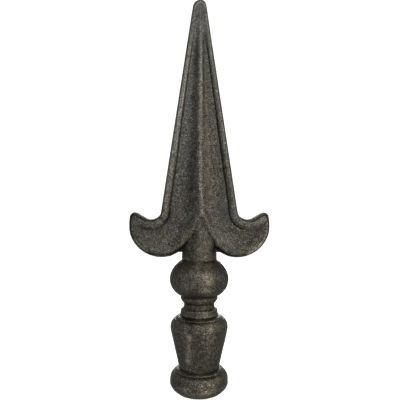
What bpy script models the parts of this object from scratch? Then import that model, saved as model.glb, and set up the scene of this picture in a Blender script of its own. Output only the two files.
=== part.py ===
# A forged iron fence spike, one solid piece. A turned foot, vase, collar, ball and neck run
# up into a fluted spear blade with two upturned barbs. Front and back are alike.
# Sizes are in millimetres until the meshes are made. The flat underside is at z = 0, the
# blade's flat side faces -Y and +Y, and the barbs point to -X and +X.

import math

import bmesh
import bpy

MM = 0.001

# Foot
FOOT_FLAT_RADIUS = 10.1
FOOT_RADIUS = 16.85
FOOT_SIDE_TOP = 8.6
FOOT_SIDE_BOTTOM = 6.8
FOOT_POWER = 1.54
FOOT_LIP_RADIUS = 13.2
FOOT_LIP_BOTTOM = 13.9
FOOT_LIP_TOP = 14.7
FOOT_TOP = 15.4

# Vase
VASE_FOOT_RADIUS = 11.5
VASE_RADIUS = 16.7
VASE_WIDEST = 38.9
VASE_TAPER_TOP = 36.0
VASE_TAPER_RADIUS = 16.3
VASE_LIP_RADIUS = 12.9
VASE_LIP_BOTTOM = 44.3
VASE_LIP_TOP = 44.9
VASE_TOP = 45.6

# Rings between the vase and the ball
LOWER_RING_RADIUS = 10.9
LOWER_RING_FOOT_RADIUS = 10.6
LOWER_RING_TOP = 50.2
LOWER_RING_SIDE = 48.3
THROAT_RADIUS = 8.85
COLLAR_RADIUS = 11.05
COLLAR_BOTTOM = 53.4

# Ball and neck
BALL_RADIUS = 17.25
BALL_CENTER = 67.2
BALL_RISE = 12.9
BALL_DROP = 13.2
NECK_RADIUS = 10.2
NECK_ROUNDING_START = 87.5
NECK_TOP = 103.6

STEM_SIDES = 40

# Heights where the blade's sections change, at its edge and on its axis
PLAIN_HEIGHT = 217.0
FADING_HEIGHT = 208.0
FLUTED_HEIGHT = 195.0
BROAD_EDGE_HEIGHT = 113.0
BROAD_AXIS_HEIGHT = 107.0
NOTCH_AXIS_HEIGHT = 102.5

# Circles of half the blade's outline: centre x, centre z, radius. The radius is negative
# where the outline is hollow.
POINT = (0.0, 225.9, 4.1)
CROOK = (28.1, 106.85, -5.75)
BARB = (37.6, 102.3, 3.25)
LOBE = (22.1, 98.8, 19.1)

# Places on the crook and on the lobe that face each other, as angles of their circles
APEX_CROOK_ANGLE = math.radians(20)
NOTCH_CROOK_ANGLE = math.radians(40)
ROOT_CROOK_ANGLE = math.radians(60)
ROOT_ANGLE = math.radians(-122.5)
LOBE_ANGLE = math.radians(-42)

# Places on the barb's tip, where its upper and lower sides meet at the last of them
TIP_UPPER_ANGLE = math.radians(85)
TIP_LOWER_ANGLE = math.radians(24)
TIP_ANGLE = math.radians(50)

# The top of the notch between the lobes. Its sides run on into the lobes' round edges.
NOTCH_APEX = (0.0, 100.5)

# Web between the neck and the lobes, below the notch
WEB_HALF_WIDTH = 16.0
WEB_HALF_THICKNESS = 4.6
WEB_BOTTOM = 82.7
WEB_TOP = 104.0
WEB_ROUNDING = 1.8

# Superellipse powers of the squarish outer edge and of the rounder edge of the lobes
EDGE_POWER = 3.2
LOBE_POWER = 2.2

# How the rim falls from its crest to its crease: 1 is straight, 2 is a parabola
RIM_POWER = 1.6

# Sections of half the blade. rim_width is the raised rim's width and crest is where in it
# the rim stands highest. rim, crease, flute, foot and ridge are half thicknesses from the
# edge inwards. flute_at is the place of the flute's half thickness between the rim and the
# ridge, ridge_width the ridge's half width, and lip how far the free inner edge is rounded.
SECTION_NAMES = ("rim_width", "crest", "rim", "crease", "flute", "foot", "ridge",
                 "flute_at", "ridge_width", "lip")
SECTIONS = {
    "point": (2.2, 0.6, 3.5, 3.6, 3.65, 3.7, 3.75, 0.5, 0.8, 4.5),
    "plain": (2.9, 0.6, 3.85, 3.9, 3.95, 4.0, 4.1, 0.5, 1.0, 4.5),
    "fading": (3.4, 0.55, 4.1, 3.75, 3.65, 4.05, 4.4, 0.4, 1.3, 4.5),
    "fluted": (3.8, 0.5, 4.7, 3.75, 3.35, 4.15, 4.8, 0.45, 1.8, 4.0),
    "broad": (5.1, 0.45, 7.3, 5.6, 5.2, 7.2, 8.6, 0.45, 3.6, 4.0),
    "notch": (5.3, 0.45, 7.3, 5.5, 5.3, 7.6, 8.9, 0.45, 4.0, 4.0),
    "root": (5.4, 0.47, 7.1, 5.5, 5.7, 7.1, 8.0, 0.4, 4.5, 4.0),
    "lobe": (5.5, 0.5, 6.5, 5.1, 5.6, 5.9, 5.7, 0.6, 4.0, 3.4),
    "barb": (4.4, 0.6, 5.4, 5.3, 5.2, 5.1, 5.0, 0.5, 3.0, 2.8),
    "shoulder": (3.0, 0.6, 5.0, 5.0, 5.0, 5.0, 5.0, 0.5, 1.6, 2.6),
    "tip": (2.0, 0.6, 4.6, 4.6, 4.6, 4.6, 4.6, 0.5, 1.0, 2.4),
}

# Where the columns of a section lie: in the outer half of the rim, in its inner half, in
# the flute and on the ridge
EDGE_STEPS = (0.0, 0.04, 0.15, 0.42, 1.0)
RIM_STEPS = (0.4, 0.75, 1.0)
FLUTE_STEPS = (0.08, 0.25, 0.45, 0.65, 0.83)
RIDGE_STEPS = (1.0, 0.62, 0.35, 0.15, 0.04, 0.0)

IRON_COLOR = (0.075, 0.07, 0.062, 1.0)
IRON_ROUGHNESS = 0.55
IRON_METALLIC = 0.85


def clear_scene():
    for item in list(bpy.data.objects):
        bpy.data.objects.remove(item, do_unlink=True)


def make_collection(name):
    collection = bpy.data.collections.new(name)
    bpy.context.scene.collection.children.link(collection)
    return collection


def add_object(name, mesh, collection):
    item = bpy.data.objects.new(name, mesh)
    collection.objects.link(item)
    return item


def ellipse(center_z, radius, height, start, end, steps):
    # Points of an upright ellipse on the axis, its angles in degrees up from its widest place
    points = []
    for i in range(steps + 1):
        angle = math.radians(start + (end - start) * i / steps)
        points.append((radius * math.cos(angle), center_z + height * math.sin(angle)))
    return points


def quarter(wide, narrow, steps, power=2.0):
    # A quarter of a superellipse from its widest place to its narrow end, each a radius and
    # a height. It leaves the widest place upright and comes in level.
    points = []
    for i in range(steps + 1):
        angle = math.radians(90 * i / steps)
        points.append((narrow[0] + (wide[0] - narrow[0]) * math.cos(angle) ** (2 / power),
                       wide[1] + (narrow[1] - wide[1]) * math.sin(angle) ** (2 / power)))
    return points


def stem_profile():
    neck_angle = math.degrees(math.acos(NECK_RADIUS / BALL_RADIUS))
    collar_angle = math.degrees(math.acos(COLLAR_RADIUS / BALL_RADIUS))
    ball_bottom = BALL_CENTER - BALL_DROP * math.sin(math.radians(collar_angle))

    profile = ellipse(NECK_ROUNDING_START, NECK_RADIUS, NECK_TOP - NECK_ROUNDING_START, 90, 0, 7)
    profile += ellipse(BALL_CENTER, BALL_RADIUS, BALL_RISE, neck_angle, 0, 6)
    profile += ellipse(BALL_CENTER, BALL_RADIUS, BALL_DROP, 0, -collar_angle, 6)[1:]
    profile += quarter((COLLAR_RADIUS, ball_bottom), (THROAT_RADIUS, COLLAR_BOTTOM), 4)[1:]
    profile += quarter((LOWER_RING_RADIUS, LOWER_RING_SIDE), (THROAT_RADIUS, LOWER_RING_TOP), 3)[::-1]
    profile += quarter((VASE_LIP_RADIUS, VASE_LIP_TOP), (LOWER_RING_FOOT_RADIUS, VASE_TOP), 2)[::-1]
    profile += quarter((VASE_RADIUS, VASE_WIDEST), (VASE_LIP_RADIUS, VASE_LIP_BOTTOM), 5)[::-1]
    profile += [(VASE_TAPER_RADIUS, VASE_TAPER_TOP)]
    profile += quarter((FOOT_LIP_RADIUS, FOOT_LIP_TOP), (VASE_FOOT_RADIUS, FOOT_TOP), 2)[::-1]
    profile += quarter((FOOT_RADIUS, FOOT_SIDE_TOP), (FOOT_LIP_RADIUS, FOOT_LIP_BOTTOM), 5)[::-1]
    profile += quarter((FOOT_RADIUS, FOOT_SIDE_BOTTOM), (FOOT_FLAT_RADIUS, 0.0), 7, FOOT_POWER)
    profile += [(0.0, 0.0)]
    return profile


def make_stem(collection):
    # The profile runs down the outer side at +X and is turned round the Z axis
    profile = stem_profile()
    mesh = bpy.data.meshes.new("spike")
    points = [(radius * MM, 0.0, height * MM) for radius, height in profile]
    points[0] = (0.0, 0.0, NECK_TOP * MM)
    edges = [(i, i + 1) for i in range(len(points) - 1)]
    mesh.from_pydata(points, edges, [])
    stem = add_object("spike", mesh, collection)
    screw = stem.modifiers.new("turned", "SCREW")
    screw.angle = math.radians(360)
    screw.steps = STEM_SIDES
    screw.render_steps = STEM_SIDES
    screw.use_merge_vertices = True
    screw.merge_threshold = 0.00001
    return stem


def on_circle(circle, angle):
    return (circle[0] + circle[2] * math.cos(angle), circle[1] + circle[2] * math.sin(angle))


def shared_tangent(first, second):
    # The angle of the normal where one straight line touches both circles
    across = second[0] - first[0]
    along = second[1] - first[1]
    reach = (first[2] - second[2]) / math.hypot(across, along)
    return math.atan2(along, across) + math.acos(reach)


def tangent_from(point, circle):
    # The angle on the circle where the lower tangent from an outside point touches it
    across = circle[0] - point[0]
    along = circle[1] - point[1]
    return math.atan2(along, across) - math.pi + math.acos(circle[2] / math.hypot(across, along))


def arc(circle, start, end):
    return lambda part: on_circle(circle, start + (end - start) * part)


def line(start, end):
    return lambda part: (start[0] + (end[0] - start[0]) * part,
                         start[1] + (end[1] - start[1]) * part)


def edge_at(height, angle):
    # The point of the straight edge at a height, where the edge's normal has this angle
    touch = on_circle(POINT, angle)
    return (touch[0] + (touch[1] - height) * math.tan(angle), height)


def blade_spans():
    # Each span has its number of rows, its path along the outer edge, its path along the
    # middle or the free inner edge, and its first and last section
    edge_angle = shared_tangent(POINT, CROOK)
    top_angle = shared_tangent(CROOK, BARB)
    side_angle = shared_tangent(BARB, LOBE)
    notch_angle = tangent_from(NOTCH_APEX, LOBE)
    point_arc = arc(POINT, math.pi / 2, edge_angle)
    shoulder = on_circle(POINT, edge_angle)[1]
    crook_start = on_circle(CROOK, edge_angle)[1]

    def straight(rows, edge, axis, first, last):
        return (rows, line(edge_at(edge[0], edge_angle), edge_at(edge[1], edge_angle)),
                line((0.0, axis[0]), (0.0, axis[1])), first, last)

    return [
        (5, point_arc, lambda part: (0.0, point_arc(part)[1]), "point", "point"),
        straight(1, (shoulder, PLAIN_HEIGHT), (shoulder, PLAIN_HEIGHT), "point", "plain"),
        straight(2, (PLAIN_HEIGHT, FADING_HEIGHT), (PLAIN_HEIGHT, FADING_HEIGHT), "plain", "fading"),
        straight(1, (FADING_HEIGHT, FLUTED_HEIGHT), (FADING_HEIGHT, FLUTED_HEIGHT),
                 "fading", "fluted"),
        straight(3, (FLUTED_HEIGHT, BROAD_EDGE_HEIGHT), (FLUTED_HEIGHT, BROAD_AXIS_HEIGHT),
                 "fluted", "broad"),
        straight(2, (BROAD_EDGE_HEIGHT, crook_start), (BROAD_AXIS_HEIGHT, NOTCH_AXIS_HEIGHT),
                 "broad", "notch"),
        (2, arc(CROOK, edge_angle, APEX_CROOK_ANGLE), line((0.0, NOTCH_AXIS_HEIGHT), NOTCH_APEX),
         "notch", "notch"),
        (3, arc(CROOK, APEX_CROOK_ANGLE, NOTCH_CROOK_ANGLE),
         line(NOTCH_APEX, on_circle(LOBE, notch_angle)), "notch", "notch"),
        (3, arc(CROOK, NOTCH_CROOK_ANGLE, ROOT_CROOK_ANGLE), arc(LOBE, notch_angle, ROOT_ANGLE),
         "notch", "root"),
        (8, arc(CROOK, ROOT_CROOK_ANGLE, top_angle), arc(LOBE, ROOT_ANGLE, LOBE_ANGLE),
         "root", "lobe"),
        (6, line(on_circle(CROOK, top_angle), on_circle(BARB, top_angle)),
         arc(LOBE, LOBE_ANGLE, side_angle), "lobe", "barb"),
        (2, arc(BARB, top_angle, TIP_UPPER_ANGLE), arc(BARB, side_angle, TIP_LOWER_ANGLE),
         "barb", "shoulder"),
        (2, arc(BARB, TIP_UPPER_ANGLE, TIP_ANGLE), arc(BARB, TIP_LOWER_ANGLE, TIP_ANGLE),
         "shoulder", "tip"),
    ]


def blade_rows():
    # One row for each section: its outer end, its inner end, its sizes, and whether its
    # inner end lies on the free edge
    rows = []
    for count, outer, inner, first, last in blade_spans():
        for step in range(0 if not rows else 1, count + 1):
            part = step / count
            sizes = {name: a + (b - a) * part
                     for name, a, b in zip(SECTION_NAMES, SECTIONS[first], SECTIONS[last])}
            end = inner(part)
            free = end == NOTCH_APEX or end[0] > 0.0
            rows.append((outer(part), end, sizes, free))
    return rows


def distance_to(path, point):
    # The distance from a point to the nearest place on a path of straight pieces
    nearest = math.inf
    for (ax, az), (bx, bz) in zip(path, path[1:]):
        length = (bx - ax) ** 2 + (bz - az) ** 2
        if length == 0.0:
            continue
        along = ((point[0] - ax) * (bx - ax) + (point[1] - az) * (bz - az)) / length
        along = min(1.0, max(0.0, along))
        gap = math.hypot(ax + (bx - ax) * along - point[0], az + (bz - az) * along - point[1])
        nearest = min(nearest, gap)
    return nearest


def rounded(share, power):
    # A superellipse from 0 at the edge to 1 at its full share
    share = min(1.0, max(0.0, share))
    return (1.0 - (1.0 - share) ** power) ** (1.0 / power)


def section_places(width, sizes):
    # The columns' distances from the outer edge, and the section's rim and ridge widths,
    # which shrink where the section is narrow
    shrink = min(1.0, width / (sizes["rim_width"] + sizes["ridge_width"] + 1.0))
    rim = sizes["rim_width"] * shrink
    ridge = sizes["ridge_width"] * shrink
    crest = rim * sizes["crest"]
    places = [crest * step for step in EDGE_STEPS]
    places += [crest + (rim - crest) * step for step in RIM_STEPS]
    places += [rim + (width - rim - ridge) * step for step in FLUTE_STEPS]
    places += [width - ridge * step for step in RIDGE_STEPS]
    return places, rim, ridge, crest


def half_thickness(place, width, sizes, rim, ridge, crest):
    if place <= crest:
        return sizes["rim"]
    if place <= rim:
        share = (place - crest) / (rim - crest)
        return sizes["rim"] + (sizes["crease"] - sizes["rim"]) * share ** RIM_POWER
    if place < width - ridge:
        share = (place - rim) / (width - rim - ridge)
        low = sizes["flute_at"]
        if share < low:
            return sizes["flute"] + (sizes["crease"] - sizes["flute"]) * (1 - share / low) ** 2
        share = (share - low) / (1 - low)
        return sizes["flute"] + (sizes["foot"] - sizes["flute"]) * share ** 2
    share = (width - place) / ridge if ridge else 0.0
    return sizes["ridge"] + (sizes["foot"] - sizes["ridge"]) * share ** 2


def make_blade(collection):
    # The front right quarter is lofted between the rows and mirrored to the left and back
    rows = blade_rows()
    outer_path = [row[0] for row in rows]
    free_path = [row[1] for row in rows if row[3]]
    build = bmesh.new()
    grid = []
    for outer, inner, sizes, _ in rows:
        width = math.dist(outer, inner)
        places, rim, ridge, crest = section_places(width, sizes)
        line_points = []
        for place in places:
            share = place / width if width else 0.0
            x = outer[0] + (inner[0] - outer[0]) * share
            z = outer[1] + (inner[1] - outer[1]) * share
            half = half_thickness(place, width, sizes, rim, ridge, crest)
            wall = rounded(distance_to(outer_path, (x, z)) / max(crest, 1.0), EDGE_POWER)
            lip = rounded(distance_to(free_path, (x, z)) / sizes["lip"], LOBE_POWER)
            line_points.append(build.verts.new((x * MM, -half * wall * lip * MM, z * MM)))
        grid.append(line_points)
    for upper, lower in zip(grid, grid[1:]):
        for i in range(len(upper) - 1):
            build.faces.new((upper[i], upper[i + 1], lower[i + 1], lower[i]))
    bmesh.ops.remove_doubles(build, verts=build.verts, dist=0.000002)
    mesh = bpy.data.meshes.new("blade")
    build.to_mesh(mesh)
    build.free()
    blade = add_object("blade", mesh, collection)
    mirror = blade.modifiers.new("left and back", "MIRROR")
    mirror.use_axis = (True, True, False)
    mirror.merge_threshold = 0.000002
    blade.hide_render = True
    blade.display_type = "WIRE"
    return blade


def make_web(collection):
    build = bmesh.new()
    bmesh.ops.create_cube(build, size=1.0)
    size = (2 * WEB_HALF_WIDTH * MM, 2 * WEB_HALF_THICKNESS * MM, (WEB_TOP - WEB_BOTTOM) * MM)
    bmesh.ops.scale(build, vec=size, verts=build.verts)
    bmesh.ops.translate(build, vec=(0.0, 0.0, (WEB_TOP + WEB_BOTTOM) / 2 * MM), verts=build.verts)
    mesh = bpy.data.meshes.new("web")
    build.to_mesh(mesh)
    build.free()
    web = add_object("web", mesh, collection)
    bevel = web.modifiers.new("rounded", "BEVEL")
    bevel.width = WEB_ROUNDING * MM
    bevel.segments = 2
    web.hide_render = True
    web.display_type = "WIRE"
    return web


def join(target, other):
    union = target.modifiers.new(other.name, "BOOLEAN")
    union.operation = "UNION"
    union.object = other


def forged_iron():
    material = bpy.data.materials.new("forged iron")
    material.use_nodes = True
    shader = material.node_tree.nodes["Principled BSDF"]
    shader.inputs["Base Color"].default_value = IRON_COLOR
    shader.inputs["Roughness"].default_value = IRON_ROUGHNESS
    shader.inputs["Metallic"].default_value = IRON_METALLIC
    return material


def main():
    clear_scene()
    parts = make_collection("forged_fence_spike")
    joined = make_collection("joined_shapes")
    spike = make_stem(parts)
    join(spike, make_blade(joined))
    join(spike, make_web(joined))
    spike.data.materials.append(forged_iron())


main()
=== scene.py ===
import math

import bmesh
import bpy
import numpy as np
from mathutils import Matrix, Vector


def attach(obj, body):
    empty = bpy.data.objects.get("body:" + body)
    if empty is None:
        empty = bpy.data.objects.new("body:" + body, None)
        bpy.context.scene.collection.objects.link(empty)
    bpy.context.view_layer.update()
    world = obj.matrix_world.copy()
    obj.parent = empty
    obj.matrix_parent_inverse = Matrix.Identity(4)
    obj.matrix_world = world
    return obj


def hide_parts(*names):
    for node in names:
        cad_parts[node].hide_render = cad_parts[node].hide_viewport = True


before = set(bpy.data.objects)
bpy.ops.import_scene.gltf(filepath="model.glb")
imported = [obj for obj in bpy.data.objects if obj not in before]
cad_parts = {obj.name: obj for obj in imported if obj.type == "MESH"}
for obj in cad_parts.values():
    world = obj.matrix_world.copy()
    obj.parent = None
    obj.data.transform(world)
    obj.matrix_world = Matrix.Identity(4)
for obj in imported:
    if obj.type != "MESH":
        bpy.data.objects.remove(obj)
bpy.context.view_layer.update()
mm = 0.001

# The photograph and its level camera. Columns, rows and the focal length are in pixels, lengths in mm.
photoSize = 400
photoFocal = 490.0
photoHorizon = 200.0  # the row at the camera's height
photoAxis = 199.3  # the column where the spike's axis is seen
photoFootRow = 392.38  # the row where the axis meets the underside
photoScale = 0.5875  # mm for a pixel at the spike's axis
photoLean = math.radians(0.1)  # how far the spike leans to the right in it
cameraDistance = photoFocal * photoScale
cameraHeight = (photoFootRow - photoHorizon) * photoScale
cameraAside = 0.4  # to the right of the spike's axis
sensorWidth = 36.0


def selectOnly(piece):
    bpy.ops.object.select_all(action="DESELECT")
    piece.select_set(True)
    bpy.context.view_layer.objects.active = piece


def applyModifier(piece, modifier):
    selectOnly(piece)
    bpy.ops.object.modifier_apply(modifier=modifier.name)


def placesOf(mesh):
    places = np.zeros(len(mesh.vertices) * 3)
    mesh.vertices.foreach_get("co", places)
    return places.reshape(-1, 3) / mm


def normalsOf(mesh):
    normals = np.zeros(len(mesh.vertices) * 3)
    mesh.vertices.foreach_get("normal", normals)
    return normals.reshape(-1, 3)


def moveTo(mesh, places):
    mesh.vertices.foreach_set("co", (places * mm).ravel())
    mesh.update()


def keep(mesh, name, values):
    attribute = mesh.attributes.new(name, "FLOAT", "POINT")
    attribute.data.foreach_set("value", values.astype(np.float32))


def neighbourMean(values, edges, counts):
    total = np.zeros_like(values)
    for axis in range(values.shape[1]):
        total[:, axis] = (np.bincount(edges[:, 0], values[edges[:, 1], axis], len(values))
                          + np.bincount(edges[:, 1], values[edges[:, 0], axis], len(values)))
    return total / counts[:, None]


def smoothedPlaces(mesh, rounds):
    places = placesOf(mesh)
    edges = np.zeros(len(mesh.edges) * 2, dtype=np.int32)
    mesh.edges.foreach_get("vertices", edges)
    edges = edges.reshape(-1, 2)
    counts = np.bincount(edges.ravel(), minlength=len(places)).astype(float)
    for _ in range(rounds):
        places = 0.5 * places + 0.5 * neighbourMean(places, edges, counts)
    return places


def hollowness(mesh, rounds):
    # How far each point lies under a smoothed copy of the surface, in mm: positive in hollows
    return ((smoothedPlaces(mesh, rounds) - placesOf(mesh)) * normalsOf(mesh)).sum(axis=1)


def ease(values, start, full):
    share = np.clip((values - start) / (full - start), 0.0, 1.0)
    return share * share * (3 - 2 * share)


def blend(values, start, full, first, last):
    # Runs smoothly from the first amount to the last one
    return first + (last - first) * ease(values, start, full)


def hump(values, middle, halfWidth):
    # 1 at the middle, falling smoothly to 0 at the half width
    return 1.0 - ease(np.abs(values - middle), 0.0, halfWidth)


def seen(column, row, height):
    # The place in mm, as x and z, of a photograph's point that stands this far in front of the axis
    scale = photoScale * (cameraDistance - height) / cameraDistance
    return (column - photoAxis) * scale, cameraHeight + (photoHorizon - row) * scale


# The iron's surface. Lengths and heights are in mm. Where a list ends with two shares, they hold below
# its first height and above its second.
ironSurface = {
    "weld": 0.002,
    "quadAngle": math.radians(40),
    "creaseAngle": math.radians(16),
    "subdivision": 2,
    "voxel": 0.3,
    "smoothing": 2,
    "smoothFactor": 0.5,
    "creaseRounds": 24,
    "creaseRange": (0.05, 0.16),  # how hollow a crease is where its cut starts and is full
    "creaseDepth": 0.30,
    "creaseOnStem": (78.0, 82.0, 0.25, 1.0),
    "creaseOnBlade": (82.0, 90.0, 1.0, 0.4),
    # How widely the creases' painted shade and dirt is measured, and how strong it is on the stem
    "creaseShadeAndDirtRounds": 8,
    "creaseShadeAndDirtOnStem": (84.0, 98.0, 0.4, 1.0),
    "hollowRounds": 160,
    "pitRounds": 5,
    "calm": (150.0, 215.0),  # where the grain grows faint
    "triangles": 190000,
    "flatRadius": 10.1,
    "flatHeight": 0.3,
}


def copyOfSolid(name, node):
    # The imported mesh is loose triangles, so the copy is merged before it is shaped
    piece = bpy.data.objects.new(name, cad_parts[node].data.copy())
    bpy.context.scene.collection.objects.link(piece)
    piece.data.materials.clear()
    selectOnly(piece)
    bpy.ops.object.mode_set(mode="EDIT")
    bpy.ops.mesh.select_all(action="SELECT")
    bpy.ops.mesh.remove_doubles(threshold=ironSurface["weld"] * mm)
    bpy.ops.mesh.tris_convert_to_quads(face_threshold=ironSurface["quadAngle"],
                                       shape_threshold=ironSurface["quadAngle"])
    # The hollow corners stay sharp, and the standing ones are rounded
    bpy.ops.mesh.select_all(action="DESELECT")
    bpy.ops.mesh.select_mode(type="EDGE")
    shape = bmesh.from_edit_mesh(piece.data)
    for edge in shape.edges:
        if edge.is_manifold and edge.calc_face_angle_signed() < -ironSurface["creaseAngle"]:
            edge.select = True
    bmesh.update_edit_mesh(piece.data)
    bpy.ops.transform.edge_crease(value=1.0)
    bpy.ops.object.mode_set(mode="OBJECT")
    return piece


def refine(piece):
    # Round the facets, then one even skin of small faces over the whole forging
    rounding = piece.modifiers.new("rounding", "SUBSURF")
    rounding.levels = ironSurface["subdivision"]
    rounding.render_levels = ironSurface["subdivision"]
    applyModifier(piece, rounding)
    skin = piece.modifiers.new("skin", "REMESH")
    skin.mode = "VOXEL"
    skin.voxel_size = ironSurface["voxel"] * mm
    applyModifier(piece, skin)
    smooth = piece.modifiers.new("smooth", "SMOOTH")
    smooth.factor = ironSurface["smoothFactor"]
    smooth.iterations = ironSurface["smoothing"]
    applyModifier(piece, smooth)


# The stem's turned outline, from the foot up, in mm
stemOutline = {
    "bottom": (0.3, 1.0),  # the outline sets in over these heights
    "foot": (16.95, 6.8, 8.6, 10.1),  # radius, where its side starts and ends, radius of the flat
    "footPower": 1.54,
    "footTop": ((16.95, 8.6), (14.3, 13.4)),
    "footLip": ((14.3, 13.7), (12.1, 15.1)),
    "vaseFoot": ((12.1, 15.1), (11.7, 15.6)),
    "vaseTaper": (16.3, 36.0),
    "vaseTop": ((16.8, 38.9), (13.9, 44.1)),
    "vaseLip": ((13.9, 44.3), (11.5, 45.6)),
    "ringFoot": ((11.5, 45.6), (11.05, 46.0)),
    "ring": ((10.75, 48.0), (10.1, 49.7)),
    "throat": ((10.1, 49.7), (8.9, 51.2)),
    "collar": ((10.9, 56.5), (8.9, 52.9)),
    "collarPower": 1.4,
    "ball": (17.35, 67.2, 13.3, 13.2),  # radius, middle, rise above it and drop below it
    "ballSweep": (-48, 54, 3),  # degrees
    "neck": 10.25,
    "neckEnds": (78.3, 80.7),
    "top": (77.2, 79.2),  # and fades out over these
    "cornerSteps": 12,
}


def quarterTurn(wide, narrow, power=2.0):
    # A quarter of a rounded corner, from its wide end to its narrow end
    corner = []
    steps = stemOutline["cornerSteps"]
    for step in range(steps + 1):
        angle = math.radians(90) * step / steps
        corner.append((narrow[0] + (wide[0] - narrow[0]) * math.cos(angle) ** (2 / power),
                       wide[1] + (narrow[1] - wide[1]) * math.sin(angle) ** (2 / power)))
    return corner


def coveTurn(wide, narrow):
    # A quarter of a hollow corner, from its wide end to its narrow end
    cove = []
    steps = stemOutline["cornerSteps"]
    for step in range(steps + 1):
        angle = math.radians(90) * step / steps
        cove.append((wide[0] - (wide[0] - narrow[0]) * math.sin(angle),
                     narrow[1] - (narrow[1] - wide[1]) * math.cos(angle)))
    return cove


def stemProfile():
    # Radius and height up the outside of the stem
    size = stemOutline
    radius, sideBottom, sideTop, flat = size["foot"]
    ball, middle, rise, drop = size["ball"]
    profile = quarterTurn((radius, sideBottom), (flat, 0.0), size["footPower"])[::-1]
    profile += quarterTurn(*size["footTop"])
    profile += quarterTurn(*size["footLip"])
    profile += coveTurn(*size["vaseFoot"])
    profile.append(size["vaseTaper"])
    profile += quarterTurn(*size["vaseTop"])
    profile += quarterTurn(*size["vaseLip"])
    profile += coveTurn(*size["ringFoot"])
    profile += quarterTurn(*size["ring"])
    profile += coveTurn(*size["throat"])
    profile += quarterTurn(*size["collar"], size["collarPower"])[::-1]
    for angle in range(*size["ballSweep"]):
        height = rise if angle > 0 else drop
        turn = math.radians(angle)
        profile.append((ball * math.cos(turn), middle + height * math.sin(turn)))
    profile += [(size["neck"], height) for height in size["neckEnds"]]
    return np.array(profile)


def roundStem(mesh):
    # The stem's facets and softened corners are turned true again
    places = placesOf(mesh)
    profile = stemProfile()
    tinyRise = 1e-4  # so that no two points have the same height
    height = np.maximum.accumulate(profile[:, 1] + tinyRise * np.arange(len(profile)))
    radius = np.interp(places[:, 2], height, profile[:, 0])
    share = ease(places[:, 2], *stemOutline["bottom"]) * (1.0 - ease(places[:, 2], *stemOutline["top"]))
    onAxis = 0.1  # nearer than this a place has no direction to move in
    before = np.maximum(np.hypot(places[:, 0], places[:, 1]), onAxis)
    grow = 1.0 + share * (radius / before - 1.0)
    places[:, 0] *= grow
    places[:, 1] *= grow
    moveTo(mesh, places)


# Circles of the blade's outline: centre x, centre z and radius, which is negative where it is hollow
bladeOutline = {
    "point": (0.0, 225.9, 4.1),
    "crook": (28.1, 107.4, -5.75),
    "barb": (37.6, 102.55, 3.25),
    "lobe": (22.1, 98.55, 19.1),
    "lobeEnd": math.radians(-150),
    "notch": (0.0, 100.5),  # its top
    "arcSteps": 60,
    "step": 0.3,  # between the outline's points
}


def onCircle(circle, angle):
    return circle[0] + circle[2] * math.cos(angle), circle[1] + circle[2] * math.sin(angle)


def sharedTangent(first, second):
    # The angle of the normal where one straight line touches both circles
    across, along = second[0] - first[0], second[1] - first[1]
    reach = (first[2] - second[2]) / math.hypot(across, along)
    return math.atan2(along, across) + math.acos(reach)


def outlinePoints():
    # Evenly spaced points down the blade's right-hand outline, from its point to the notch
    point, crook, barb, lobe = (bladeOutline[name] for name in ("point", "crook", "barb", "lobe"))
    edge, top, side = sharedTangent(point, crook), sharedTangent(crook, barb), sharedTangent(barb, lobe)
    steps = bladeOutline["arcSteps"]
    corners = []
    for circle, start, end in ((point, math.pi / 2, edge), (crook, edge, top), (barb, top, side),
                               (lobe, side, bladeOutline["lobeEnd"])):
        corners += [onCircle(circle, start + (end - start) * i / steps) for i in range(steps + 1)]
    corners.append(bladeOutline["notch"])
    corners = np.array(corners)
    run = np.concatenate([[0.0], np.cumsum(np.hypot(*np.diff(corners, axis=0).T))])
    along = np.arange(0.0, run[-1], bladeOutline["step"])
    return np.stack([np.interp(along, run, corners[:, 0]), np.interp(along, run, corners[:, 1])], axis=1)


farAway = 99.0  # mm
placesAtOnce = 20000  # spares the memory


def fromOutline(places):
    # For each place, how far it is from the outline and which outline point is nearest
    outline = outlinePoints()
    across, up = np.abs(places[:, 0]), places[:, 2]
    inset = np.full(len(places), farAway)
    nearest = np.zeros(len(places), dtype=int)
    for i in range(0, len(places), placesAtOnce):
        part = slice(i, i + placesAtOnce)
        gaps = (across[part, None] - outline[None, :, 0]) ** 2 + (up[part, None] - outline[None, :, 1]) ** 2
        nearest[part] = gaps.argmin(axis=1)
        inset[part] = np.sqrt(gaps.min(axis=1))
    return inset, outline[nearest]


def distanceTo(path, x, z):
    # The distance in mm from each place to a path of straight pieces
    best = np.full(len(x), farAway)
    for (ax, az), (bx, bz) in zip(path, path[1:]):
        share = ((x - ax) * (bx - ax) + (z - az) * (bz - az)) / ((bx - ax) ** 2 + (bz - az) ** 2)
        share = np.clip(share, 0.0, 1.0)
        best = np.minimum(best, np.hypot(ax + (bx - ax) * share - x, az + (bz - az) * share - z))
    return best


def atHeight(path, z):
    # The value at each height, between the path's pairs of a height and a value
    return np.interp(z, [height for height, _ in path], [value for _, value in path])


# The front rib's shift to the right at these heights. Each of the neck's shoulders has its middle and its
# reach as x and z, and its shift.
ribShift = {
    "path": ((0, 0.0), (86, 0.0), (97, 0.9), (106, 1.3), (114, 0.7), (124, 0.25), (145, 0.3), (170, 0.5),
             (230, 0.6)),
    "reach": 7.0,
    "front": (0.5, 3.5),
    "foot": (84.0, 96.0),
    "neckShoulders": (((-5.0, 93.0), (5.0, 8.5), 1.9), ((8.0, 89.5), (4.0, 4.5), 1.1)),
}


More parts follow.
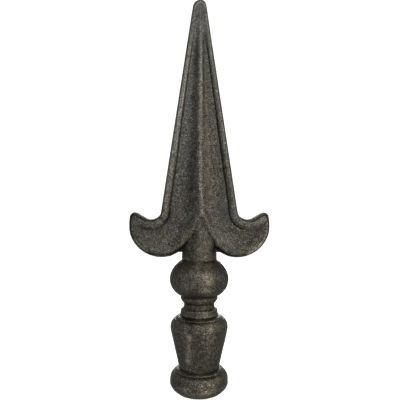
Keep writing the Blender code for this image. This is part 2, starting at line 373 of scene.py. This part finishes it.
def shiftRib(mesh):
    # The forging's rib stands a little to the right of the middle of its outline, at the front
    places = placesOf(mesh)
    near = hump(places[:, 0], 0.0, ribShift["reach"])
    shift = atHeight(ribShift["path"], places[:, 2]) * near * ease(places[:, 2], *ribShift["foot"])
    front = ease(-places[:, 1], *ribShift["front"])
    # The shoulders of the neck's rounded top lie further to the right too
    for (x, z), (acrossReach, upReach), further in ribShift["neckShoulders"]:
        shift += further * hump(places[:, 0], x, acrossReach) * hump(places[:, 2], z, upReach)
    places[:, 0] += shift * front
    moveTo(mesh, places)


# How far the crook and the tip rise and the lobe's underside stands out, and where each of these fades,
# in mm from its circle's centre, across and up
barbFill = {
    "crookRise": 0.65,
    "crookNear": (6.3, 11.0),
    "crookInside": (2.0, 5.0),
    "crookTop": (101.5, 105.0),
    "tipRise": 0.3,
    "tipNear": (3.3, 7.0),
    "tipFoot": (100.0, 104.0),
    "lobeOut": 0.35,
    "lobeNear": (12.0, 18.5),
    "lobeAcross": (12.0, 18.0),
    "lobeTop": (92.0, 99.0),
}


def fillBarbs(mesh):
    # The barbs are a little fuller than the solid's
    places = placesOf(mesh)
    across, z = np.abs(places[:, 0]), places[:, 2].copy()
    side = np.sign(places[:, 0])
    circles = [bladeOutline[name] for name in ("crook", "barb", "lobe")]
    crookFar, tipFar, lobeFar = (np.hypot(across - circle[0], z - circle[1]) for circle in circles)
    fill = barbFill
    crook = (1.0 - ease(crookFar, *fill["crookNear"])) * ease(crookFar, *fill["crookInside"])
    crook *= 1.0 - ease(z, *fill["crookTop"])
    tip = (1.0 - ease(tipFar, *fill["tipNear"])) * ease(z, *fill["tipFoot"])
    lobe = ease(lobeFar, *fill["lobeNear"]) * ease(across, *fill["lobeAcross"])
    lobe *= 1.0 - ease(z, *fill["lobeTop"])
    outward = (across - bladeOutline["lobe"][0]) / lobeFar
    upward = (z - bladeOutline["lobe"][1]) / lobeFar
    places[:, 0] += side * fill["lobeOut"] * lobe * outward
    places[:, 2] += fill["crookRise"] * crook + fill["tipRise"] * tip + fill["lobeOut"] * lobe * upward
    moveTo(mesh, places)


# The saddle over the neck: how far it stands out, how fast it falls away across and upwards from its
# middle, how sharply it meets the forging, and where it is laid in
notchSaddle = {
    "out": 8.2,
    "fallAcross": 0.05,
    "fallUp": 0.03,
    "middle": 98.5,
    "sharpness": 3.0,
    "heights": (88.0, 112.0),
    "halfWidth": 12.0,
    "least": 3.0,
}


def fillNotch(mesh):
    # Above the neck's rounded top the two ridges run together over a shallow saddle
    notch = notchSaddle
    places = placesOf(mesh)
    x, z = places[:, 0] - atHeight(ribShift["path"], places[:, 2]), places[:, 2]
    saddle = notch["out"] - notch["fallAcross"] * x * x - notch["fallUp"] * (z - notch["middle"]) ** 2
    depth = np.abs(places[:, 1])
    sharp = notch["sharpness"]
    fill = np.log(np.exp(sharp * depth) + np.exp(sharp * saddle)) / sharp
    low, high = notch["heights"]
    near = (z > low) & (z < high) & (np.abs(x) < notch["halfWidth"]) & (depth > notch["least"])
    places[near, 1] = np.where(places[near, 1] < 0.0, -1.0, 1.0) * fill[near]
    moveTo(mesh, places)


# Lines worked into the blade's faces, in mm. "In" is measured from the outline, and "out" from the axis.
# Between two numbers the work fades in or out.
bladeRelief = {
    "foot": 80.0,
    "facing": (0.05, 0.35),
    "thickness": (0.8, 2.0),
    "softFoot": 90.0,
    "softIn": (1.6, 2.8),
    "softOut": (27.0, 31.5),
    "halfSoftOut": (17.0, 22.0),
    "halfSoftLeft": 0.85,
    "halfSoftRight": 0.5,
    "leftFurther": 3.5,
    "softRounds": 60,
    "rimWidths": ((101.0, 5.9), (105.0, 5.6), (113.0, 5.1), (134.0, 4.95), (169.0, 4.2), (183.5, 3.9),
                  (205.0, 3.5)),
    "rimGroove": 0.30,
    "rimGrooveHalf": 0.7,
    "rimGrooveTop": (196.0, 213.0),
    "rimGrooveOut": (25.0, 29.5),
    "rimGrooveFoot": 100.8,
    "leftBendGroove": 0.4,
    "ribBead": 0.30,
    "ribBeadHalf": 2.3,
    "ribBeadTop": (205.0, 218.0),
    "ribBeadFoot": (103.0, 108.0),
    "edgeBead": 0.36,
    "edgeBeadIn": 1.6,
    "edgeBeadHalf": 0.9,
    "edgeGroove": 0.25,
    "edgeGrooveIn": 2.9,
    "edgeGrooveHalf": 1.0,
    "edgeOut": (26.0, 31.0),
    "edgeTop": (99.0, 102.0),
    "leftEdgeTop": (86.0, 92.0),
    "barbGroove": 0.50,
    "barbGrooveIn": 1.3,
    "barbGrooveHalf": 0.75,
    "barbGrooveOut": (28.5, 31.5),
    "barbGrooveFoot": (98.5, 101.5),
    "barbFoot": 96.0,
    "barbSide": (0.0, 0.15),
    "darkEdge": 0.9,
    "darkEdgeIn": (0.5, 1.1),
    "brightBead": 0.4,
}
# Ridges and hollows round the arch over the neck, through points of the photograph: how far the forging
# stands in front of the axis there, half width and how far they stand up, in mm
archRelief = {
    "rightRidge": (((204.5, 215), (208, 225), (216, 236), (227, 246)), 8.0, 4.0, 0.45),
    "leftRidge": (((199, 217), (194, 228), (186, 236), (175, 243)), 8.0, 4.0, 0.45),
    "saddle": (((202.5, 222), (203, 227)), 8.0, 3.2, -0.25),
}


def workBlade(mesh):
    relief = bladeRelief
    places, normals = placesOf(mesh), normalsOf(mesh)
    x, z = places[:, 0], places[:, 2]
    onBlade = z > relief["foot"]
    faces = ease(np.abs(normals[:, 1]), *relief["facing"])
    faces *= ease(np.abs(places[:, 1]), *relief["thickness"]) * onBlade
    inset, nearest = fromOutline(places)
    out, up = nearest[:, 0], nearest[:, 1]
    left = x * np.sign(places[:, 1]) > 0.0  # as seen from each face's own side
    further = np.where(left, relief["leftFurther"], 0.0)

    # The rim sinks softly into the barb, on the left further out, where its bend is softer too
    bend = ease(np.abs(x), *relief["halfSoftOut"])
    soft = ease(np.abs(x) - further, *relief["softOut"])
    soft = np.maximum(soft, np.where(left, relief["halfSoftLeft"], relief["halfSoftRight"]) * bend)
    soft *= ease(inset, *relief["softIn"]) * (z > relief["softFoot"])
    places += (smoothedPlaces(mesh, relief["softRounds"]) - places) * soft[:, None]
    moveTo(mesh, places)
    normals = normalsOf(mesh)
    move = np.zeros(len(places))

    # The sharp inner side of the raised rim, from the fluted top to the barb
    groove = hump(inset, atHeight(relief["rimWidths"], up), relief["rimGrooveHalf"])
    groove *= 1.0 - ease(up, *relief["rimGrooveTop"])
    groove *= (1.0 - ease(out - further, *relief["rimGrooveOut"])) * (up > relief["rimGrooveFoot"])
    groove *= np.where(left, 1.0 + (relief["leftBendGroove"] - 1.0) * bend, 1.0)
    move -= relief["rimGroove"] * groove

    # The rib's narrow crest
    crest = hump(x - atHeight(ribShift["path"], z), 0.0, relief["ribBeadHalf"])
    crest *= (1.0 - ease(z, *relief["ribBeadTop"])) * ease(z, *relief["ribBeadFoot"])
    move += relief["ribBead"] * crest

    # The ridges of the arch, on the back mirrored
    side = np.where(places[:, 1] < 0.0, x, -x)
    for points, height, halfWidth, rise in archRelief.values():
        path = [seen(column, row, height) for column, row in points]
        move += rise * hump(distanceTo(path, side, z), 0.0, halfWidth)

    # A low bead inside the lobe's edge, and the hollow behind it
    lobe = ease(out, *relief["edgeOut"]) * (1.0 - ease(up, *relief["edgeTop"]))
    lobe *= np.where(left, 1.0 - ease(up, *relief["leftEdgeTop"]), 1.0)
    bead = hump(inset, relief["edgeBeadIn"], relief["edgeBeadHalf"]) * lobe
    move += relief["edgeBead"] * bead
    move -= relief["edgeGroove"] * hump(inset, relief["edgeGrooveIn"], relief["edgeGrooveHalf"]) * lobe
    move *= faces

    # A fine line round the barb's top and tip
    tip = ease(out, *relief["barbGrooveOut"]) * ease(up, *relief["barbGrooveFoot"])
    tip *= ease(np.abs(normals[:, 1]), *relief["barbSide"]) * (z > relief["barbFoot"])
    fine = hump(inset, relief["barbGrooveIn"], relief["barbGrooveHalf"]) * tip
    move -= relief["barbGroove"] * fine

    # The fine line is darker, the lobe's very edge gets painted shade, and its bead a painted highlight
    edge = (1.0 - ease(inset, *relief["darkEdgeIn"])) * lobe
    keep(mesh, "line", (fine + relief["darkEdge"] * edge - relief["brightBead"] * bead) * onBlade)

    moveTo(mesh, places + normals * move[:, None])


def digCreases(mesh):
    # The meeting lines of the forms are cut a little deeper
    surface = ironSurface
    places, normals = placesOf(mesh), normalsOf(mesh)
    hollow = hollowness(mesh, surface["creaseRounds"])
    share = ease(hollow, *surface["creaseRange"])
    # They are cut less on the stem, and on the blade, where the rim's groove has its own line
    share *= blend(places[:, 2], *surface["creaseOnBlade"])
    share *= blend(places[:, 2], *surface["creaseOnStem"])
    moveTo(mesh, places - normals * (share * surface["creaseDepth"])[:, None])


# Rings on the stem, as height, half width and how far they stand up, all in mm
stemRings = {
    "underBall": (57.1, 1.1, -0.45),
    "collar": (55.3, 1.2, 0.12),
}
# Scars on the stem's front: where they start and end in the photograph, half width and how far they
# stand up in mm
stemScars = {
    "vaseLine": ((206, 326), (206, 347), 0.55, -0.16),
    "vaseRidge": ((189.5, 334), (188.5, 366), 1.7, 0.24),
    "vaseSide": ((212, 324), (214, 344), 2.6, 0.14),
    "vaseHollow": ((200, 346), (201, 368), 3.2, -0.22),
    "vasePatch": ((191, 324), (192, 327), 1.5, -0.18),
}
scarHeight = 15.0  # mm in front of the axis
scarFront = (4.0, 8.0)
scarTop = (70.0, 75.0)


def workStem(mesh):
    places, normals = placesOf(mesh), normalsOf(mesh)
    x, z = places[:, 0], places[:, 2]
    move = np.zeros(len(places))
    for height, halfWidth, rise in stemRings.values():
        move += rise * hump(z, height, halfWidth)
    front = ease(-places[:, 1], *scarFront) * (1.0 - ease(z, *scarTop))
    for start, end, halfWidth, rise in stemScars.values():
        path = [seen(column, row, scarHeight) for column, row in (start, end)]
        move += rise * hump(distanceTo(path, x, z), 0.0, halfWidth) * front
    moveTo(mesh, places + normals * move[:, None])


# Painted highlights and painted shade at the front, with some stains and tints: their path in the
# photograph, how far the forging stands in front of the axis there and the half width, both in mm, how much
# lighter they are and how much warmer
lightShadeAndStainMarks = {
    "vaseStreak": (((189.5, 337), (188.5, 366)), 15.0, 1.7, 0.9, 0.0),
    "vaseSide": (((213, 325), (213, 343)), 15.0, 4.5, 0.35, 0.5),
    "vaseLow": (((202, 350), (203, 367)), 13.0, 4.0, -0.3, -0.4),
    "vasePatch": (((191, 323), (193, 328)), 15.0, 2.5, -0.45, 0.3),
    "ballLeftEdge": (((174.5, 268), (172, 275), (171.5, 281), (173, 288)), 2.0, 1.6, -0.35, 0.0),
    "ballRightEdge": (((224, 268), (226.5, 275), (227, 281), (225.5, 288)), 2.0, 1.4, -0.3, 0.0),
    "ballFront": (((194, 271), (202, 273), (204, 281)), 16.0, 3.2, 0.22, 0.0),
    "ballLeft": (((185, 285), (191, 286)), 15.0, 3.5, 0.35, 0.4),
    "ballRight": (((206, 278), (208, 290)), 16.0, 3.2, 0.6, 0.6),
    "ballSide": (((219, 274), (219, 291)), 14.0, 2.4, -0.12, 0.0),
    "neckJoint": (((197, 265.3), (209, 264.8)), 10.5, 2.6, 0.5, 0.0),
    "neckLow": (((199, 252), (200.5, 262)), 10.0, 2.2, 0.8, 0.0),
    "underBall": (((186, 297.5), (200, 298.3), (213, 297.5)), 12.0, 1.1, -0.4, 0.0),
    "vaseLip": (((184, 320.7), (199, 321.9), (214, 320.7)), 14.0, 0.55, -0.45, 0.0),
    "ringCrease": (((181, 317.8), (199, 319.1), (217, 317.8)), 12.0, 0.7, 0.8, 0.0),
    "footCrease": (((180, 371), (199, 373), (218, 371)), 12.5, 0.9, 0.45, 0.0),
    "footLip": (((184, 374.8), (199, 376.4), (214, 374.8)), 13.5, 0.5, -0.4, 0.0),
    "footShoulder": (((185, 379.5), (199, 381.5), (213, 379.5)), 15.5, 1.4, -0.35, 0.0),
    "footLow": (((186, 391.5), (199, 393), (213, 391.5)), 13.0, 2.2, 0.5, 0.0),
    "footRight": (((203, 389), (215, 386)), 15.0, 4.0, 0.2, 0.9),
    "neck": (((196, 240), (196, 256)), 10.0, 5.0, -0.17, 0.0),
    "neckFoot": (((182, 260.5), (199, 262), (216, 260.5)), 10.2, 0.9, 0.3, 0.0),
    "ringLow": (((184, 315.5), (199, 317), (215, 315.5)), 11.0, 0.7, 0.3, 0.0),
    "tip": (((198.5, 5), (197, 40)), 4.0, 5.0, 0.28, 0.0),
    "leftFlute": (((190, 80), (183, 140), (178, 205)), 6.0, 4.2, 0.14, -0.9),
    "leftShade": (((192, 150), (188, 205)), 6.0, 4.0, -0.2, -0.5),
    "leftRimWall": (((192, 50), (184.5, 90), (174.8, 164), (170.5, 200)), 6.5, 0.9, 0.45, -0.4),
    "leftRim": (((188.5, 60), (170.8, 164), (165.5, 200)), 5.0, 2.0, 0.32, -0.8),
    "leftLobe": (((146, 242), (158, 246), (170, 241)), 5.0, 4.5, 0.24, 0.0),
    "leftBend": (((141.5, 226.4), (146, 229), (151.6, 229.6), (159.4, 228.2), (165.1, 223.6), (170.5, 215)),
                 5.0, 1.1, -0.35, 0.0),
    "rightRim": (((212, 60), (228, 164), (233.5, 200)), 5.0, 1.6, -0.08, -0.6),
    "leftTop": (((194.5, 45), (194, 75), (192.5, 105)), 5.0, 2.2, -0.22, -0.7),
    "rightFlute": (((209, 130), (211, 200)), 6.0, 5.0, 0.12, 0.9),
    "rightLobe": (((213, 215), (232, 243)), 6.0, 6.0, 0.12, 0.4),
    "rib": (((200.4, 60), (200.2, 164), (201.2, 200)), 7.0, 1.3, 0.25, 0.2),
    "ribShade": (((194.5, 100), (192.5, 200)), 6.0, 2.6, -0.12, -0.2),
    "leftEdge": (((150, 253), (165, 254.7), (174, 252.3), (181, 249)), 4.0, 1.3, -0.5, 0.0),
    "rightEdge": (((217.5, 248), (223, 252), (232, 255), (244, 254)), 4.0, 1.3, -0.5, 0.0),
    "rightBarbEdge": (((266, 225), (264.5, 236), (261, 242), (255.5, 248), (249, 251.5)),
                      4.0, 0.8, 0.6, 0.0),
    "rightBarbSpots": (((258, 245.5), (255.5, 247.5)), 4.0, 1.0, 0.5, 0.0),
    "rightBarbHollow": (((256, 231), (261, 228.5)), 5.0, 3.0, -0.35, -0.6),
    "rightBarbRidge": (((255, 224), (265, 221)), 5.0, 1.0, 0.45, 0.0),
    "rightBarbRim": (((268, 224), (268, 232), (266.5, 238), (262.8, 244.5), (257.5, 249.5), (250.5, 253.5)),
                     3.0, 0.5, -0.9, 0.0),
    "rightBarbTop": (((238, 218.5), (247, 220), (254, 217.5), (260, 213.8), (264, 212.8), (267, 215)),
                     3.0, 0.7, -0.55, 0.0),
    "leftBarbRim": (((130.8, 222), (131.3, 232), (134.3, 240), (139.3, 246.5), (146, 251.5), (153, 254.5)),
                    3.0, 0.5, -0.9, 0.0),
    "leftBarbTop": (((131, 217), (134, 213.2), (139, 214.2), (144.5, 218.5), (150, 220.4), (156, 219),
                     (160, 215.5), (162, 208)), 3.0, 1.0, -0.7, 0.0),
    "leftBarbEdge": (((136.5, 239), (141, 244), (146, 248)), 4.0, 0.9, 0.45, -0.4),
    "leftCrease": (((181, 248), (189, 241), (196, 234)), 8.0, 1.8, -0.25, 0.0),
    "rightCrease": (((223, 252), (217.5, 247), (213, 242), (209, 236)), 8.0, 1.6, -0.3, 0.0),
    "leftRidge": (((195, 228), (186, 237), (173, 245)), 8.0, 2.0, -0.05, 0.8),
    "leftBarbRidge": (((135, 222), (140, 222.5)), 5.0, 1.3, 0.5, 0.0),
    "tipCool": (((199.5, 5), (199.5, 60)), 4.0, 6.0, 0.0, -0.8),
    "stem": (((199.5, 250), (199.5, 386)), 13.0, 9.0, 0.0, 1.15),
}
markFade = 1.6  # a mark fades out at this many half widths
markFront = (-0.5, 1.0)  # mm in front of the axis


def paintMarks(mesh):
    # Painted highlights and shade, with stains and tints, kept as the lighter and warmer attributes
    places = placesOf(mesh)
    front = ease(-places[:, 1], *markFront)
    lighter, warmer = np.zeros(len(places)), np.zeros(len(places))
    for points, height, halfWidth, light, warmth in lightShadeAndStainMarks.values():
        path = [seen(column, row, height) for column, row in points]
        near = hump(distanceTo(path, places[:, 0], places[:, 2]), 0.0, markFade * halfWidth) * front
        lighter += light * near
        warmer += warmth * near
    keep(mesh, "lighter", lighter)
    keep(mesh, "warmer", warmer)
    keep(mesh, "calm", ease(places[:, 2], *ironSurface["calm"]))


# Unevenness of the forged and cast skin: the size of its waves and their depth, in mm
ironBumps = {
    "uneven": (11.0, 0.20),
    "dents": (3.4, 0.30),
    "grain": (1.2, 0.18),
}
# How much of that unevenness shows. The blade's work fades in over "foot", and a place counts as face
# rather than edge over "facing".
skinShares = {
    "stem": 0.8,
    "edges": 0.15,
    "faces": 1.0,
    "foot": (80.0, 86.0),
    "facing": (0.25, 0.7),
    "steps": 20,
}


def displace(piece, name):
    size, depth = ironBumps[name]
    texture = bpy.data.textures.new(name, "CLOUDS")
    texture.noise_scale = size * mm
    bumps = piece.modifiers.new(name, "DISPLACE")
    bumps.texture = texture
    bumps.texture_coords = "LOCAL"
    bumps.strength = depth * mm
    bumps.vertex_group = "skin"
    applyModifier(piece, bumps)


def weighSkin(piece):
    # The blade's edges are smoother than its faces, and the stem lies between
    shares = skinShares
    places, normals = placesOf(piece.data), normalsOf(piece.data)
    onBlade = ease(places[:, 2], *shares["foot"])
    blade = blend(np.abs(normals[:, 1]), *shares["facing"], shares["edges"], shares["faces"])
    weights = shares["stem"] + onBlade * (blade - shares["stem"])
    group = piece.vertex_groups.new(name="skin")
    steps = shares["steps"]
    for step in range(1, steps + 1):
        chosen = np.nonzero(np.round(weights * steps) == step)[0]
        group.add(chosen.tolist(), step / steps, "REPLACE")


def flattenUnderside(mesh):
    places = placesOf(mesh)
    low = places[:, 2] < ironSurface["flatHeight"]
    inside = np.hypot(places[:, 0], places[:, 1]) < ironSurface["flatRadius"]
    places[low & inside, 2] = 0.0
    places[:, 2] = np.maximum(places[:, 2], 0.0)
    moveTo(mesh, places)


def makeSpike():
    piece = copyOfSolid("fenceSpike", "spike")
    refine(piece)
    mesh = piece.data
    print("refined", len(mesh.polygons))
    roundStem(mesh)
    fillBarbs(mesh)
    shiftRib(mesh)
    fillNotch(mesh)
    digCreases(mesh)
    workBlade(mesh)
    workStem(mesh)
    print("relief worked")
    # Painted shade and dirt for the creases, weaker on the stem, and the hollowness that gives painted
    # shade in the hollows and lighter crests
    creaseShadeAndDirtShare = blend(placesOf(mesh)[:, 2], *ironSurface["creaseShadeAndDirtOnStem"])
    keep(mesh, "crease", hollowness(mesh, ironSurface["creaseShadeAndDirtRounds"]) * creaseShadeAndDirtShare)
    keep(mesh, "hollow", hollowness(mesh, ironSurface["hollowRounds"]))
    paintMarks(mesh)
    print("marks painted")
    weighSkin(piece)
    for name in ironBumps:
        displace(piece, name)
    keep(piece.data, "pits", hollowness(piece.data, ironSurface["pitRounds"]))
    print("skin roughened")
    flattenUnderside(piece.data)
    thin = piece.modifiers.new("thin", "DECIMATE")
    thin.ratio = ironSurface["triangles"] / (2.0 * len(piece.data.polygons))
    applyModifier(piece, thin)
    flattenUnderside(piece.data)
    print("thinned", len(piece.data.polygons))
    piece.data.shade_smooth()
    return piece


# The iron's finish
ironFinish = {
    "metallic": 0.7,
    "pitColor": (0.0170, 0.0161, 0.0134, 1.0),
    "skinColor": (0.086, 0.0805, 0.0645, 1.0),
    "grainColor": (0.27, 0.256, 0.209, 1.0),
    "grainPlaces": (0.28, 0.5, 0.76),
    "calmColor": (0.096, 0.091, 0.076, 1.0),
    "coolColor": (0.96, 1.0, 1.06, 1.0),
    "warmColor": (1.05, 0.995, 0.93, 1.0),
    "warmShare": 0.5,  # how much a mark's warmth counts
    "bumpStrength": 0.56,
    "bumpDepth": 0.3,  # mm
}
# Its patterns: features for a metre, detail and roughness
ironNoise = {
    "grain": (1500.0, 1.5, 0.7),
    "mottle": (330.0, 3.0, 0.6),
    "patches": (70.0, 3.0, 0.55),
    "specks": (800.0, 1.0, 0.5),
}
# Ranges of the calm attribute and of the patterns, and what they give
ironRanges = {
    "calm": (0.0, 1.0, 0.0, 0.45),
    "patches": (0.38, 0.62, -0.05, 0.75),
    "mottle": (0.35, 0.65, 0.76, 1.24),
    "specks": (0.62, 0.72, 1.0, 1.8),
    "roughness": (0.35, 0.65, 0.28, 0.46),
}
# What is worked into the mesh, painted light and shade among it: the attribute, its range, and how light
# that makes the iron
ironShades = {
    # painted highlights and shade from the marks, with their stains
    "paintedLightShadeAndStains": ("lighter", (-1.0, 1.0, 0.0, 2.0)),
    "rubbedCrests": ("hollow", (-0.12, -0.50, 1.0, 1.65)),
    # painted shade in the hollows
    "paintedShadeInHollows": ("hollow", (0.12, 0.60, 1.0, 0.80)),
    # painted shade and dirt in the creases
    "dirtAndShadeInCreases": ("crease", (0.025, 0.09, 1.0, 0.45)),
    # darker fine lines, painted shade on the lobe's edge and a painted highlight on its bead
    "linesEdgeShadeAndBeadHighlight": ("line", (-1.0, 1.0, 1.75, 0.25)),
    "pits": ("pits", (0.008, 0.045, 1.0, 0.60)),
}


def mapRange(nodes, links, source, span):
    node = nodes.new("ShaderNodeMapRange")
    for name, value in zip(("From Min", "From Max", "To Min", "To Max"), span):
        node.inputs[name].default_value = value
    links.new(source, node.inputs["Value"])
    return node.outputs["Result"]


def mixColors(nodes, links, kind, factor, first, second):
    node = nodes.new("ShaderNodeMix")
    node.data_type = "RGBA"
    node.blend_type = kind
    for value, name in ((factor, "Factor"), (first, "A"), (second, "B")):
        if isinstance(value, bpy.types.NodeSocket):
            links.new(value, node.inputs[name])
        else:
            node.inputs[name].default_value = value
    return node.outputs["Result"]


def multiply(nodes, links, color, shade):
    return mixColors(nodes, links, "MULTIPLY", 1.0, color, shade)


def noise(nodes, links, place, name):
    node = nodes.new("ShaderNodeTexNoise")
    for socket, value in zip(("Scale", "Detail", "Roughness"), ironNoise[name]):
        node.inputs[socket].default_value = value
    links.new(place, node.inputs["Vector"])
    return node.outputs["Fac"]


def attribute(nodes, name):
    node = nodes.new("ShaderNodeAttribute")
    node.attribute_name = name
    return node.outputs["Fac"]


def ironMaterial():
    finish = ironFinish
    material = bpy.data.materials.new("darkIron")
    material.use_nodes = True
    nodes = material.node_tree.nodes
    links = material.node_tree.links
    shader = nodes["Principled BSDF"]
    shader.inputs["Metallic"].default_value = finish["metallic"]
    place = nodes.new("ShaderNodeTexCoord").outputs["Object"]

    # Sandy grain: dark pits, grey skin and bright grains
    grain = noise(nodes, links, place, "grain")
    ramp = nodes.new("ShaderNodeValToRGB")
    pit, skin, bright = finish["grainPlaces"]
    ramp.color_ramp.elements[0].position = pit
    ramp.color_ramp.elements[0].color = finish["pitColor"]
    ramp.color_ramp.elements[1].position = bright
    ramp.color_ramp.elements[1].color = finish["grainColor"]
    ramp.color_ramp.elements.new(skin).color = finish["skinColor"]
    links.new(grain, ramp.inputs["Fac"])
    color = ramp.outputs["Color"]

    # The grain is fainter towards the point
    calm = mapRange(nodes, links, attribute(nodes, "calm"), ironRanges["calm"])
    color = mixColors(nodes, links, "MIX", calm, color, finish["calmColor"])

    # Warm and cool patches
    patches = mapRange(nodes, links, noise(nodes, links, place, "patches"), ironRanges["patches"])
    warmth = nodes.new("ShaderNodeMath")
    warmth.operation = "MULTIPLY_ADD"
    links.new(attribute(nodes, "warmer"), warmth.inputs[0])
    warmth.inputs[1].default_value = finish["warmShare"]
    links.new(patches, warmth.inputs[2])
    tint = mixColors(nodes, links, "MIX", warmth.outputs["Value"], finish["coolColor"], finish["warmColor"])
    color = multiply(nodes, links, color, tint)

    # Blotches of lighter and darker skin, and sparse bright specks
    mottle = noise(nodes, links, place, "mottle")
    color = multiply(nodes, links, color, mapRange(nodes, links, mottle, ironRanges["mottle"]))
    specks = noise(nodes, links, place, "specks")
    color = multiply(nodes, links, color, mapRange(nodes, links, specks, ironRanges["specks"]))

    # The marks' painted highlights and shade and their stains, lighter rubbed crests, painted shade in the
    # hollows, painted shade and dirt in the creases, darker fine lines and pits, painted shade on the
    # lobe's edge and a painted highlight on its bead
    for name, span in ironShades.values():
        color = multiply(nodes, links, color, mapRange(nodes, links, attribute(nodes, name), span))
    links.new(color, shader.inputs["Base Color"])
    links.new(mapRange(nodes, links, mottle, ironRanges["roughness"]), shader.inputs["Roughness"])

    bump = nodes.new("ShaderNodeBump")
    bump.inputs["Strength"].default_value = finish["bumpStrength"]
    bump.inputs["Distance"].default_value = finish["bumpDepth"] * mm
    links.new(grain, bump.inputs["Height"])
    links.new(bump.outputs["Normal"], shader.inputs["Normal"])
    return material


# The stage: a pale floor, a round backdrop swept up from it, soft lights and the photograph's camera.
# Its lengths are in metres.
stageSizes = {
    "sides": 96,
    "floorRadius": 0.6,
    "radius": 1.6,
    "sweep": 0.5,
    "sweepStep": 10,  # degrees
    "height": 1.8,
    "roughness": 0.9,
    "white": (0.95, 0.95, 0.95, 1.0),
    "glow": 1.05,
}
# Soft lights round the piece: degrees round to the right, degrees above, power in W and color
lights = {
    "frontLight": (-5, 25, 0.48, (0.96, 1.0, 1.05)),
    "keyLight": (42, 25, 0.57, (1.05, 1.0, 0.94)),
    "lowKeyLight": (42, -15, 0.42, (1.03, 1.0, 0.95)),
    "lowFrontLight": (-5, -15, 0.17, (1.08, 1.0, 0.90)),
    "underLight": (30, -60, 0.24, (1.10, 1.0, 0.88)),
    "leftLight": (-55, 25, 0.13, (1.0, 1.0, 1.0)),
    "lowLeftLight": (-55, -35, 0.16, (0.96, 1.0, 1.08)),
    "sideLight": (75, 5, 0.13, (1.12, 1.0, 0.94)),
    "backLight": (180, 0, 0.85, (1.0, 1.0, 1.0)),
    "highBackLight": (180, 40, 0.2, (1.0, 1.0, 1.0)),
}
lightDistance = 0.6
lightSize = 0.3
lightTarget = (0.0, 0.0, 0.113)
ambient = 0.21


def stageMaterial():
    material = bpy.data.materials.new("paleStage")
    material.use_nodes = True
    shader = material.node_tree.nodes["Principled BSDF"]
    shader.inputs["Base Color"].default_value = stageSizes["white"]
    shader.inputs["Roughness"].default_value = stageSizes["roughness"]
    shader.inputs["Emission Color"].default_value = stageSizes["white"]
    shader.inputs["Emission Strength"].default_value = stageSizes["glow"]
    return material


def makeStage():
    size = stageSizes
    pale = stageMaterial()
    bpy.ops.object.select_all(action="DESELECT")
    bpy.ops.mesh.primitive_circle_add(vertices=size["sides"], radius=size["floorRadius"], fill_type="NGON")
    floor = bpy.context.object
    floor.name = "floor"
    floor.data.materials.append(pale)

    bpy.ops.object.select_all(action="DESELECT")
    bpy.ops.mesh.primitive_circle_add(vertices=size["sides"], radius=size["floorRadius"],
                                      fill_type="NOTHING")
    backdrop = bpy.context.object
    backdrop.name = "backdrop"
    backdrop.data.materials.append(pale)
    inner = size["radius"] - size["sweep"]
    rings = [(inner, 0.0)]
    for angle in range(size["sweepStep"], 91, size["sweepStep"]):
        turn = math.radians(angle)
        rings.append((inner + size["sweep"] * math.sin(turn), size["sweep"] * (1.0 - math.cos(turn))))
    rings.append((size["radius"], size["height"]))
    bpy.ops.object.mode_set(mode="EDIT")
    bpy.ops.mesh.select_all(action="SELECT")
    radius, height = size["floorRadius"], 0.0
    for ringRadius, ringHeight in rings:
        bpy.ops.mesh.extrude_edges_move(TRANSFORM_OT_translate={"value": (0.0, 0.0, ringHeight - height)})
        share = ringRadius / radius
        bpy.ops.transform.resize(value=(share, share, 1.0), center_override=(0.0, 0.0, ringHeight))
        radius, height = ringRadius, ringHeight
    bpy.ops.mesh.select_all(action="SELECT")
    bpy.ops.mesh.normals_make_consistent(inside=True)
    bpy.ops.object.mode_set(mode="OBJECT")
    backdrop.data.shade_smooth()
    for stagePiece in (floor, backdrop):
        stagePiece.visible_glossy = False
        stagePiece.visible_diffuse = False
        stagePiece.visible_shadow = False  # the low lights shine up through the pale floor


def makeLights():
    target = Vector(lightTarget)
    for name, (azimuth, elevation, power, color) in lights.items():
        lamp = bpy.data.lights.new(name, "AREA")
        lamp.shape = "DISK"
        lamp.energy = power
        lamp.size = lightSize
        lamp.color = color
        stand = bpy.data.objects.new(name, lamp)
        aside, above = math.radians(azimuth), math.radians(elevation)
        flat = math.cos(above)
        away = Vector((math.sin(aside) * flat, -math.cos(aside) * flat, math.sin(above)))
        stand.location = target + away * lightDistance
        stand.rotation_euler = (-away).to_track_quat("-Z", "Y").to_euler()
        stand.visible_camera = False
        bpy.context.scene.collection.objects.link(stand)
    world = bpy.data.worlds.new("studio")
    world.use_nodes = True
    world.node_tree.nodes["Background"].inputs["Color"].default_value = (1.0, 1.0, 1.0, 1.0)
    world.node_tree.nodes["Background"].inputs["Strength"].default_value = ambient
    bpy.context.scene.world = world
    bpy.context.scene.view_settings.view_transform = "Standard"


def makeCamera():
    camera = bpy.data.cameras.new("camera")
    camera.sensor_width = sensorWidth
    camera.lens = sensorWidth * photoFocal / photoSize
    stand = bpy.data.objects.new("camera", camera)
    stand.location = (cameraAside * mm, -cameraDistance * mm, cameraHeight * mm)
    stand.rotation_euler = (math.radians(90), -photoLean, 0.0)
    bpy.context.scene.collection.objects.link(stand)
    bpy.context.scene.camera = stand


spike = makeSpike()
spike.data.materials.append(ironMaterial())
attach(spike, "root")
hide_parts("spike")
print("spike finished")

makeStage()
makeLights()
makeCamera()
print("stage, lights and camera set")
